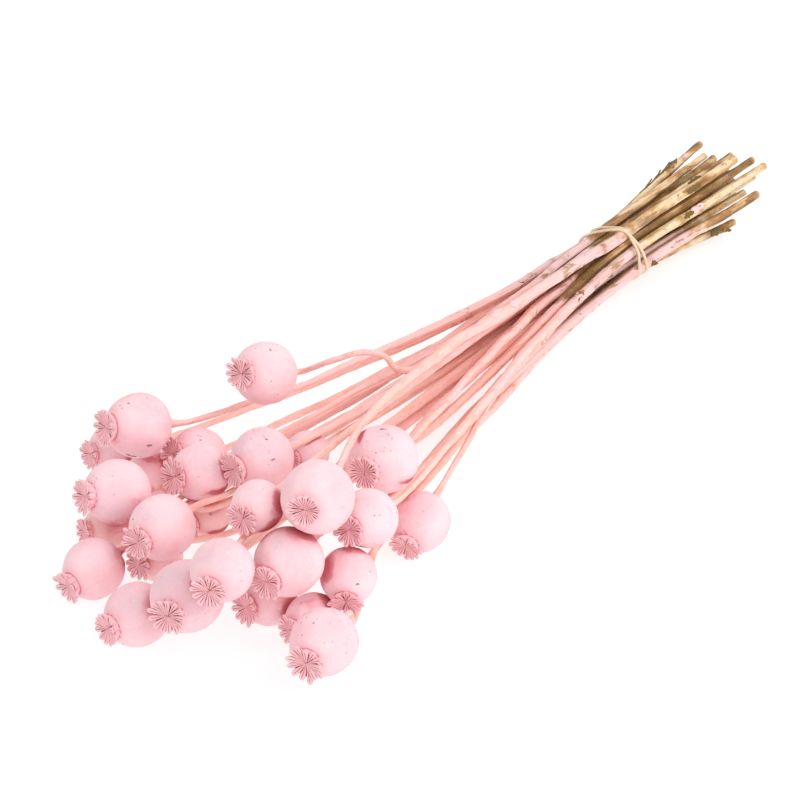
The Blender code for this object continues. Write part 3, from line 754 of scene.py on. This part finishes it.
def run_tree(thing, tree, **inputs):
    """The mesh that a tree makes of an object, which is removed; double underscores are spaces."""
    modifier = thing.modifiers.new(tree.name, "NODES")
    modifier.node_group = tree
    for socket in tree.interface.items_tree:
        label = socket.name.replace(" ", "__")
        if socket.in_out == "INPUT" and label in inputs:
            modifier[socket.identifier] = inputs[label]
    bpy.context.view_layer.update()
    graph = bpy.context.evaluated_depsgraph_get()
    mesh = bpy.data.meshes.new_from_object(thing.evaluated_get(graph))
    thing.modifiers.remove(modifier)
    bpy.data.objects.remove(thing)
    return mesh


def object_of(name, mesh):
    piece = bpy.data.objects.new(name, mesh)
    bpy.context.scene.collection.objects.link(piece)
    return piece


def route_object(name, points, radii, closed=False):
    """A curve object along points, with a radius at each."""
    curve = bpy.data.curves.new(name, "CURVE")
    curve.dimensions = "3D"
    spline = curve.splines.new("POLY")
    spline.points.add(len(points) - 1)
    spline.points.foreach_set("co", np.column_stack((points, np.ones(len(points)))).ravel())
    spline.points.foreach_set("radius", radii)
    spline.use_cyclic_u = closed
    return object_of(name, curve)


def keep_values(mesh, name, values):
    """Keeps a number for each point of a mesh as an attribute."""
    layer = mesh.attributes.new(name, "FLOAT", "POINT")
    layer.data.foreach_set("value", np.asarray(values, np.float32).ravel())


def places_of(mesh):
    return np.array([vertex.co[:] for vertex in mesh.vertices])


def turned_mesh(name, rows, around, **attributes):
    """A mesh of rows of points that each run once round, closed at both ends."""
    count = len(rows)
    points = np.asarray(rows).reshape(-1, 3)
    faces = []
    for row in range(count - 1):
        for step in range(around):
            here = row * around + step
            beside = row * around + (step + 1) % around
            faces.append((here, beside, beside + around, here + around))
    faces.append(tuple(reversed(range(around))))
    faces.append(tuple(range((count - 1) * around, count * around)))
    mesh = bpy.data.meshes.new(name)
    mesh.from_pydata(points.tolist(), [], faces)
    for label, values in attributes.items():
        keep_values(mesh, label, values)
    return mesh


def capsule_mesh(plan, sizes, rng):
    """The round head: a turned profile with faint ribs, lumps and dents."""
    profile = smooth_route(np.concatenate((NECK_PROFILE, HEAD_PROFILE)), HEAD_ALONG)
    turns = turns_round(HEAD_AROUND)
    heights = profile[:, 1][:, None]
    swell = smooth_step(heights, -1.0, -0.5) * (1 - smooth_step(heights, 0.75, 1.0))
    ribs = np.abs(np.cos(turns * plan.rays / 2)) ** 0.5 - 0.8
    shape = 1 + sizes.rib_depth * swell * ribs
    for wave in range(1, 5):
        phases = rng.uniform(0, math.tau, 3)
        lump = np.cos(turns * wave + phases[0]) * np.cos(heights * (1 + wave) + phases[1])
        shape = shape + sizes.lump_depth / wave * swell * lump
    for _ in range(3):
        turn, height = rng.uniform(0, math.tau), rng.uniform(-0.7, 0.7)
        off = np.hypot((np.angle(np.exp(1j * (turns - turn)))) * 0.9, heights - height)
        depth = sizes.dent_depth * rng.uniform(0.3, 1)
        shape = shape - depth * swell * bell(off, 0, rng.uniform(0.15, 0.4))
    pinch = bell(heights, -0.93, 0.14) * 0.06 * np.cos(turns * 9 + rng.uniform(0, 6))
    across = profile[:, 0][:, None] * (shape + pinch)
    sag = 0.015 * np.cos(turns + rng.uniform(0, 6)) * swell
    rows = turned_rows(across, heights + sag * 0.5, turns)
    # Painted shade in the hollow under the crown, at the neck and in the grooves between the ribs
    hollow = smooth_step(heights, 0.93, 1.03) * 0.6
    hollow = hollow + (1 - smooth_step(heights, -1.08, -0.93)) * 0.35
    groove = (1 - np.abs(np.cos(turns * plan.rays / 2))) ** 12 * swell * 0.05
    peach = np.full(groove.shape, float(plan.number in PEACH_HEADS))
    top = smooth_step(heights, 0.55, 0.85) + 0 * turns
    hollow = np.clip(hollow + groove, 0, 1)
    rows = rows * plan.radius
    return turned_mesh("capsule", rows, HEAD_AROUND, hollow=hollow, peach=peach, top=top)


def mark_places(mesh, plan, name, marks):
    """Keeps as an attribute how close a head's points are to the places given for it."""
    right, up, back = camera_axes()
    places = places_of(mesh)
    near = np.zeros(len(places))
    for number, across, above, size in marks:
        if number == plan.number:
            way = across * right + above * up + math.sqrt(1 - across**2 - above**2) * back
            away = np.linalg.norm(places - plan.middle - way * plan.radius, axis=1)
            near += bell(away, 0, size * MM)
    keep_values(mesh, name, near)


def crown_height(plan, reach):
    """How high the crown's face is at a distance from its axis, as shares of the head's radius."""
    return 1.125 + 0.105 * (reach / plan.crown_share) ** 1.6


def dish_mesh(plan, rng):
    """The crown's cup under the rays, from its foot on the capsule to its scalloped rim."""
    rim = plan.crown_share * 0.90
    foot = min(0.37, plan.crown_share * 0.72)
    outline = np.array((
        (foot, 0.80), (foot, 0.91), (foot * 1.04, 1.00),
        (rim * 0.78, 1.065), (rim * 0.96, 1.13), (rim, 1.165),
        (rim * 0.94, crown_height(plan, rim) - 0.02),
        (rim * 0.6, crown_height(plan, rim * 0.6) - 0.02),
        (rim * 0.2, crown_height(plan, rim * 0.2) - 0.01), (0.01, 1.14),
    ))
    profile = smooth_route(outline, DISH_STEPS)
    around = plan.rays * 6
    turns = turns_round(around)
    lobe = np.abs(np.cos(turns * plan.rays / 2))
    edge = smooth_step(profile[:, 0][:, None], foot, rim)
    across = profile[:, 0][:, None] * (1 - 0.22 * edge * (1 - lobe))
    across = across * (1 + 0.02 * np.cos(turns * 2 + rng.uniform(0, 6)))
    rows = turned_rows(across, profile[:, 1][:, None], turns)
    # Painted shade: the dish's face under the rays is dark, and its underside darker between the
    # lobes
    on_face = np.arange(len(profile))[:, None] > DISH_STEPS * 0.55
    under = 0.15 + 0.40 * (1 - lobe)
    crease = np.where(on_face, 0.9, under) + 0 * turns
    return turned_mesh("dish", rows * plan.radius, around, crease=crease)


def ray_mesh(plan):
    """One ray along +X: two low crests with a groove between them, and a rounded, upturned tip."""
    share = np.linspace(0, 1, RAY_ALONG)[:, None] ** 0.85
    across = np.concatenate((
        np.sin(np.linspace(-1, 1, RAY_TOP) * math.pi / 2), np.linspace(0.9, -0.9, RAY_UNDER)
    ))
    on_top = np.arange(len(across)) < RAY_TOP
    reach = (0.03 + (plan.crown_share - 0.03) * share) + 0 * across
    round_off = np.sqrt(np.clip(1 - (np.clip(share - 0.80, 0, 1) / 0.204) ** 2, 0.03, 1))
    finger = 1 - 0.22 * smooth_step(share, 0.55, 0.95)
    half_width = np.tan(math.pi / plan.rays) * reach * 0.98 * finger * round_off
    crests = bell(np.abs(across), 0.47, 0.30)
    swell = np.sin(np.clip(share * 1.02, 0, 1) * math.pi) ** 0.6
    top = 0.012 + 0.042 * swell * crests * (1 - np.abs(across) ** 6) + 0.020 * (1 - across**2)
    under = -0.035 * (1 - 0.5 * np.abs(across)) * (0.4 + 0.6 * share)
    thick = np.where(on_top, top, under) * (0.35 + 0.65 * round_off)
    rise = crown_height(plan, reach) + 0.02 * smooth_step(share, 0.7, 1)
    rows = np.stack((reach, half_width * across, rise + thick), axis=2) * plan.radius
    # Painted shade: dark lines in each ray's middle groove and along its sides, and a darker
    # underside
    line = 0.95 * bell(across, 0, 0.13) + 0.9 * smooth_step(np.abs(across), 0.84, 0.99)
    middle = smooth_step(share, 0.10, 0.30) * (1 - smooth_step(share, 0.78, 1.0))
    crease = np.where(on_top, line * (0.1 + 0.9 * middle), 0.28)
    return turned_mesh("ray", rows[::-1], len(across), crease=crease[::-1])


def stem_profile(plan, spots, rng):
    """The stem's radius at distances from the head, with its collar, and where its knots are."""
    knots = run_lengths(plan.stem) + np.linalg.norm(plan.stem[0] - plan.foot)
    near_head = 1 - smooth_step(spots, *SLIM_RUN)
    near_end = smooth_step(spots / spots[-1], SLIM_END_FROM, 1)
    radius = np.interp(spots, knots, plan.stem_radii) * (0.96 - 0.18 * near_head - 0.22 * near_end)
    radius *= 1 + 0.5 * np.exp(-spots / COLLAR_REACH)
    radius += 0.4 * MM * bell(spots, COLLAR_REACH, 0.9 * MM)
    knotted = np.zeros(len(spots))
    for joint in rng.uniform(0.12, 0.97, KNOT_COUNT) * spots[-1]:
        width = rng.uniform(1.2, 3) * MM
        radius += rng.uniform(0.1, 0.45) * MM * bell(spots, joint, width)
        knotted += bell(spots, joint, width * 0.8)
    waves = np.cos(spots[:, None] / (rng.uniform(9, 60, 4) * MM) + rng.uniform(0, 6, 4)).sum(1)
    return radius * (1 + 0.016 * waves), knotted


def hollow_end(mesh, direction):
    """Opens the cut end of a stem: a wall round a dark hole."""
    work = bmesh.new()
    work.from_mesh(mesh)
    layer = work.verts.layers.float.get("hollow") or work.verts.layers.float.new("hollow")
    face = max(
        (face for face in work.faces if len(face.verts) > 4),
        key=lambda face: face.calc_center_median() @ direction,
    )
    radius = max((vertex.co - face.calc_center_median()).length for vertex in face.verts)
    for vertex in face.verts:
        vertex[layer] = 0.8
    bmesh.ops.inset_individual(work, faces=[face], thickness=radius * END_WALL_SHARE)
    for vertex in face.verts:
        vertex[layer] = 1.0
    inset = bmesh.ops.extrude_discrete_faces(work, faces=[face])["faces"][0]
    for vertex in inset.verts:
        vertex.co -= direction * radius * END_DEPTH_SHARE
        vertex[layer] = 0.2
    work.to_mesh(mesh)
    work.free()


def crooked(points, rng):
    """Adds slight bends to a route, none at its ends."""
    share = np.linspace(0, 1, len(points))[:, None]
    waves = rng.uniform(6, 16, (3, 1, 3)) * share * math.pi + rng.uniform(0, 6, (3, 1, 3))
    return points + 0.28 * MM * np.sin(waves).sum(0) * np.sin(share * math.pi) ** 0.5


def stem_mesh(plan, sizes, trees, material, rng):
    """The ridged stem, from the head's foot to its cut end."""
    plan.foot = plan.middle - plan.axis * plan.radius * FOOT_SHARE
    route = np.concatenate(([plan.foot], plan.stem))
    length = np.linalg.norm(np.diff(route, axis=0), axis=1).sum()
    points = crooked(smooth_route(route, int(length / STEM_STEP)), rng)
    radii, knotted = stem_profile(plan, run_lengths(points), rng)
    other = (rng.uniform(*OTHER_TONES), rng.uniform(*OTHER_PAINT_ENDS))
    tone, paint_end = STEM_TONES.get(plan.number, other)
    guide = route_object("stem_route", points, radii)
    mesh = run_tree(
        guide, trees["tube"], Sides=STEM_SIDES, Ridges=sizes.ridge_depth,
        Unevenness=sizes.stem_bumps, Tone=tone, Paint__end=paint_end, Seed=int(plan.number),
        Material=material,
    )
    nearest = np.abs(places_of(mesh)[:, None, 0] - points[None, :, 0]).argmin(1)
    keep_values(mesh, "knot", np.clip(knotted[nearest], 0, 1))
    hollow_end(mesh, Vector(normal_of(points[-1] - points[-4])))
    return mesh


def joined_piece(name, meshes):
    """One object of several meshes, with smooth faces."""
    pieces = [object_of(name, mesh) for mesh in meshes]
    if len(pieces) > 1:
        with bpy.context.temp_override(active_object=pieces[0], selected_editable_objects=pieces):
            bpy.ops.object.join()
    pieces[0].name = name
    for vertex in pieces[0].data.vertices:
        vertex.co.z = max(vertex.co.z, 0)
    pieces[0].data.shade_smooth()
    pieces[0].data.set_sharp_from_angle(angle=SHARP_ANGLE)
    return pieces[0]


def painted(mesh, material, pose):
    """Gives a mesh its material and puts it in its place."""
    mesh.materials.clear()
    mesh.materials.append(material)
    mesh.transform(pose)
    return mesh


def make_poppy(node, sizes, trees, paints, surroundings):
    """One poppy's fine piece, in place of its solid."""
    plan = PoppyPlan(node)
    rng = np.random.default_rng(SEED + int(plan.number))
    capsule = painted(capsule_mesh(plan, sizes, rng), paints["capsule"], plan.pose)
    surroundings.shade(capsule)
    # The thin attribute holds the greyish patches of painted shade
    mark_places(capsule, plan, "thin", SHADE_PATCH_PLACES)
    mark_places(capsule, plan, "mark", DARK_MARKS)
    dish = painted(dish_mesh(plan, rng), paints["crown"], plan.pose)
    rays = run_tree(
        object_of("ray", ray_mesh(plan)), trees["rays"], Count=plan.rays,
        Unevenness=sizes.unevenness, Tip=sizes.ray_tip, Seed=int(plan.number),
        Material=paints["crown"],
    )
    rays = painted(rays, paints["crown"], plan.pose)
    # Painted shade for the whole crown, from the outlook in front of it
    crown_shade = surroundings.crown_shade(plan)
    for mesh in (dish, rays):
        keep_values(mesh, "shade", np.full(len(mesh.vertices), crown_shade))
    stem = stem_mesh(plan, sizes, trees, paints["stem"], rng)
    surroundings.shade(stem)
    piece = joined_piece("seed_head_" + plan.number, [capsule, dish, rays, stem])
    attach(piece, "root")
    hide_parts(node)


def scrap_mesh(scrap, plan, rng):
    """A thin crumpled strip that starts on a stem and curls away from it."""
    points = smooth_route(plan.stem, ROUTE_STEPS)
    here = int(scrap.along * (ROUTE_STEPS - 1))
    middle = points[here]
    way = normal_of(points[min(here + 3, ROUTE_STEPS - 1)] - points[here - 3])
    up = normal_of(np.array((0, 0, 1)) - way * way[2])
    turn = math.radians(scrap.turn)
    outward = up * math.cos(turn) + np.cross(way, up) * math.sin(turn)
    side = np.cross(way, outward)
    radius = np.interp(scrap.along, np.linspace(0, 1, len(plan.stem_radii)), plan.stem_radii)
    share = np.linspace(0, 1, SCRAP_ALONG)[:, None]
    turns = turns_round(SCRAP_AROUND)
    half = scrap.width / 2 * MM * np.sin(math.pi * (0.12 + 0.86 * share)) ** 0.6
    half = half * (1 + 0.22 * np.sin(share * rng.uniform(10, 22) + rng.uniform(0, 6)))
    across = half * np.cos(turns)
    waves = np.sin(share * 9 + turns * 2 + rng.uniform(0, 6))
    curl = scrap.lift * MM * share**2 + 0.35 * MM * waves
    hug = radius - 0.3 * MM - across**2 / (2.2 * radius) * (1 - share)
    outward_by = hug + curl * (0.3 + 0.7 * share) + 0.22 * MM * np.sin(turns)
    along = (share - 0.5) * scrap.length * MM + 0 * turns
    rows = middle + along[:, :, None] * way + across[:, :, None] * side
    rows = rows + outward_by[:, :, None] * outward
    return turned_mesh("scrap", rows, SCRAP_AROUND, dry=np.full(rows.shape[:2], scrap.dry))


def number(name, description, default, **kind):
    return bpy.props.FloatProperty(name=name, description=description, default=default, **kind)


def tint(name, description, default):
    return bpy.props.FloatVectorProperty(
        name=name, description=description, default=(*default, 1), size=4, subtype="COLOR",
        min=0, max=1,
    )


class BunchSizes(bpy.types.PropertyGroup):
    """How strongly the natural shapes show."""

    rib_depth: number("Rib depth", "How deep a capsule's ribs are, by its radius", 0.010)
    lump_depth: number("Lump depth", "How high a capsule's lumps are, by its radius", 0.014)
    dent_depth: number("Dent depth", "How deep a capsule's dents are, by its radius", 0.03)
    ridge_depth: number("Ridge depth", "How deep a stem's ridges are, by its radius", 0.15)
    stem_bumps: number("Stem bumps", "Height of the stems' uneven places", 1.1 * MM, unit="LENGTH")
    unevenness: number("Unevenness", "How much the crown's rays differ", 1.0)
    ray_tip: number("Ray tipping", "How far rays are tipped up or down", 0.05, subtype="ANGLE")


class BunchColours(bpy.types.PropertyGroup):
    """The paint, the bare plant, the band, and the painted shade."""

    paint_light: tint("Light paint", "Most of a capsule", (0.975, 0.68, 0.72))
    paint_mid: tint("Pink paint", "Blotches on a capsule", (0.955, 0.59, 0.63))
    paint_pale: tint("Pale paint", "Chalky grains", (0.98, 0.76, 0.79))
    # Also the greyish patches of painted shade at the listed places
    paint_thin_and_shade: tint("Thin paint", "Greyish places where the paint is thin", (0.78, 0.56, 0.62))
    stain: tint("Stain", "Scuffs on a capsule", (0.50, 0.27, 0.28))
    scar: tint("Scar", "Scratches and stains on a capsule", (0.22, 0.09, 0.06))
    speck: tint("Speck", "Dark specks", (0.16, 0.08, 0.07))
    # Painted shade on the sides that face other heads, and on the crowns
    shade_rose: tint("Rose", "Paint on the sides that face other heads", (0.93, 0.50, 0.55))
    # Painted shade deep between the heads
    shade_crimson: tint("Crimson", "Paint deep between the heads", (0.62, 0.12, 0.15))
    crown: tint("Crown", "The crown's crests", (0.96, 0.57, 0.60))
    # Painted shade in the crown's creases and the capsule's hollows
    crease: tint("Crease", "Between the rays and in hollows", (0.36, 0.06, 0.08))
    stem_peach: tint("Peach stem", "Painted stems", (0.955, 0.60, 0.53))
    stem_pink: tint("Pink stem", "Painted stems", (0.955, 0.61, 0.59))
    stem_lilac: tint("Lilac stem", "Painted stems near the tie", (0.86, 0.62, 0.63))
    # Painted shade deep between the stems in the fan
    shade_ember: tint("Ember", "Paint deep between the stems", (0.90, 0.38, 0.29))
    bare_grey: tint("Dusty grey", "Worn places near the tie", (0.60, 0.45, 0.38))
    stem_deep: tint("Deep streaks", "Streaks on painted stems", (0.88, 0.43, 0.36))
    bare_straw: tint("Bare straw", "Unpainted stems", (0.83, 0.66, 0.42))
    bare_tan: tint("Bare tan", "Unpainted stems", (0.68, 0.43, 0.19))
    bare_brown: tint("Bare brown", "Unpainted stems", (0.40, 0.20, 0.07))
    # Also painted shade between the stems near the tie
    bare_olive_and_shade: tint("Bare olive", "Unpainted stems", (0.22, 0.115, 0.02))
    pith: tint("Pith", "Cut ends", (0.68, 0.48, 0.26))
    band: tint("Band", "The elastic band", (0.82, 0.63, 0.42))
    band_dusty: tint("Dusty band", "Dusty places on the band", (0.88, 0.73, 0.58))
    leaf: tint("Leaf", "Dry leaf scraps", (0.20, 0.13, 0.06))


class BunchStage(bpy.types.PropertyGroup):
    """The camera and the light."""

    azimuth: number("Azimuth", "Where the camera stands round the bunch", AZIMUTH, subtype="ANGLE")
    elevation: number("Elevation", "How high the camera looks from", ELEVATION, subtype="ANGLE")
    distance: number("Distance", "From the camera to its aim", 1.5, unit="LENGTH")
    aim: bpy.props.FloatVectorProperty(
        name="Aim", description="The place that the camera looks at",
        default=(-0.05093, 0.01338, 0.025), subtype="XYZ",
    )
    key_power: number("Key light", "Power of the large soft lamp", 17, unit="POWER")
    sky: number("Sky", "Strength of the even white light", 0.86)
    floor_glow: number("Floor glow", "How strongly the light table under the bunch glows", 0.74)
    floor_size: number("Floor", "Side of the floor", 8, unit="LENGTH")


class BUNCH_OT_poppies(bpy.types.Operator):
    """Make the fine piece of every poppy"""

    bl_idname = "bunch.poppies"
    bl_label = "Poppies"

    def execute(self, context):
        colours = context.scene.bunch_colours
        paints = {
            "capsule": capsule_paint(colours),
            "crown": crown_paint(colours),
            "stem": stem_paint(colours),
        }
        trees = {"tube": tube_tree(), "rays": rays_tree()}
        surroundings = Surroundings()
        for node in POPPY_NODES:
            make_poppy(node, context.scene.bunch_sizes, trees, paints, surroundings)
        return {"FINISHED"}


class BUNCH_OT_band(bpy.types.Operator):
    """Make the elastic band, wound twice round the stems"""

    bl_idname = "bunch.band"
    bl_label = "Elastic band"

    def execute(self, context):
        middles, radii = band_route()
        points = smooth_route(middles, len(middles) * BAND_STEPS, closed=True)
        points = pulled_tight(points, radii.mean() * BAND_PRESS_SHARE)
        guide = route_object("band_route", points, np.full(len(points), radii.mean()), closed=True)
        mesh = run_tree(
            guide, tube_tree(), Sides=BAND_SIDES, Ridges=0.05, Unevenness=0.0, Seed=3,
            Material=band_rubber(context.scene.bunch_colours),
        )
        piece = joined_piece("band", [mesh])
        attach(piece, "root")
        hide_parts(BAND_NODE)
        return {"FINISHED"}


class BUNCH_OT_scraps(bpy.types.Operator):
    """Make the dry leaf scraps on the stems"""

    bl_idname = "bunch.scraps"
    bl_label = "Leaf scraps"

    def execute(self, context):
        leaf = leaf_dry(context.scene.bunch_colours)
        rng = np.random.default_rng(SEED)
        still = Matrix.Identity(4)
        plans = {stem: PoppyPlan("poppy_" + stem) for stem in {scrap.stem for scrap in SCRAPS}}
        meshes = [scrap_mesh(scrap, plans[scrap.stem], rng) for scrap in SCRAPS]
        piece = joined_piece("leaf_scraps", [painted(mesh, leaf, still) for mesh in meshes])
        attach(piece, "root")
        return {"FINISHED"}


def look_at(item, place, target):
    item.location = place
    item.rotation_euler = (Vector(target) - Vector(place)).to_track_quat("-Z", "Y").to_euler()


class BUNCH_OT_stage(bpy.types.Operator):
    """Set up the floor, the lights and the camera"""

    bl_idname = "bunch.stage"
    bl_label = "Stage"

    def execute(self, context):
        scene = context.scene
        setting = scene.bunch_stage
        floor = object_of("floor", bpy.data.meshes.new("floor"))
        work = bmesh.new()
        bmesh.ops.create_grid(work, x_segments=1, y_segments=1, size=setting.floor_size / 2)
        work.to_mesh(floor.data)
        work.free()
        floor.data.materials.append(floor_white(setting.floor_glow))
        floor.location.z = -FLOOR_DROP
        scene.world = bpy.data.worlds.new("studio")
        scene.world.use_nodes = True
        sky = scene.world.node_tree.nodes["Background"]
        sky.inputs["Color"].default_value = WHITE
        sky.inputs["Strength"].default_value = setting.sky
        lamp = bpy.data.lights.new("key", "AREA")
        lamp.size = KEY_SIZE
        lamp.energy = setting.key_power
        key = object_of("key", lamp)
        look_at(key, KEY_PLACE, KEY_AIM)
        back = Vector(camera_axes(setting.azimuth, setting.elevation)[2])
        lens = bpy.data.cameras.new("camera")
        lens.sensor_width = SENSOR
        lens.lens = SENSOR * FOCAL_PX / PICTURE_PX
        lens.clip_end = VIEW_END
        camera = object_of("camera", lens)
        aim = Vector(setting.aim)
        look_at(camera, aim + back * setting.distance, aim)
        scene.camera = camera
        scene.view_settings.view_transform = "Standard"
        return {"FINISHED"}


class BUNCH_PT_panel(bpy.types.Panel):
    """Sizes, colours and pieces of the bunch"""

    bl_idname = "BUNCH_PT_panel"
    bl_label = "Poppy seed heads"
    bl_space_type = "VIEW_3D"
    bl_region_type = "UI"
    bl_category = "Poppies"

    def draw(self, context):
        for group in ("bunch_sizes", "bunch_colours", "bunch_stage"):
            box = self.layout.box()
            settings = getattr(context.scene, group)
            for name in settings.bl_rna.properties.keys():
                if name not in ("rna_type", "name"):
                    box.prop(settings, name)
        for operator in OPERATORS:
            self.layout.operator(operator.bl_idname)


OPERATORS = (BUNCH_OT_poppies, BUNCH_OT_band, BUNCH_OT_scraps, BUNCH_OT_stage)
GROUPS = {"bunch_sizes": BunchSizes, "bunch_colours": BunchColours, "bunch_stage": BunchStage}


def register():
    for kind in (*GROUPS.values(), *OPERATORS, BUNCH_PT_panel):
        bpy.utils.register_class(kind)
    for name, kind in GROUPS.items():
        setattr(bpy.types.Scene, name, bpy.props.PointerProperty(type=kind))


def unregister():
    for name in GROUPS:
        delattr(bpy.types.Scene, name)
    for kind in (BUNCH_PT_panel, *reversed(OPERATORS), *reversed(GROUPS.values())):
        bpy.utils.unregister_class(kind)


def main():
    register()
    bpy.ops.bunch.poppies()
    bpy.ops.bunch.band()
    bpy.ops.bunch.scraps()
    bpy.ops.bunch.stage()


if __name__ == "__main__":
    main()
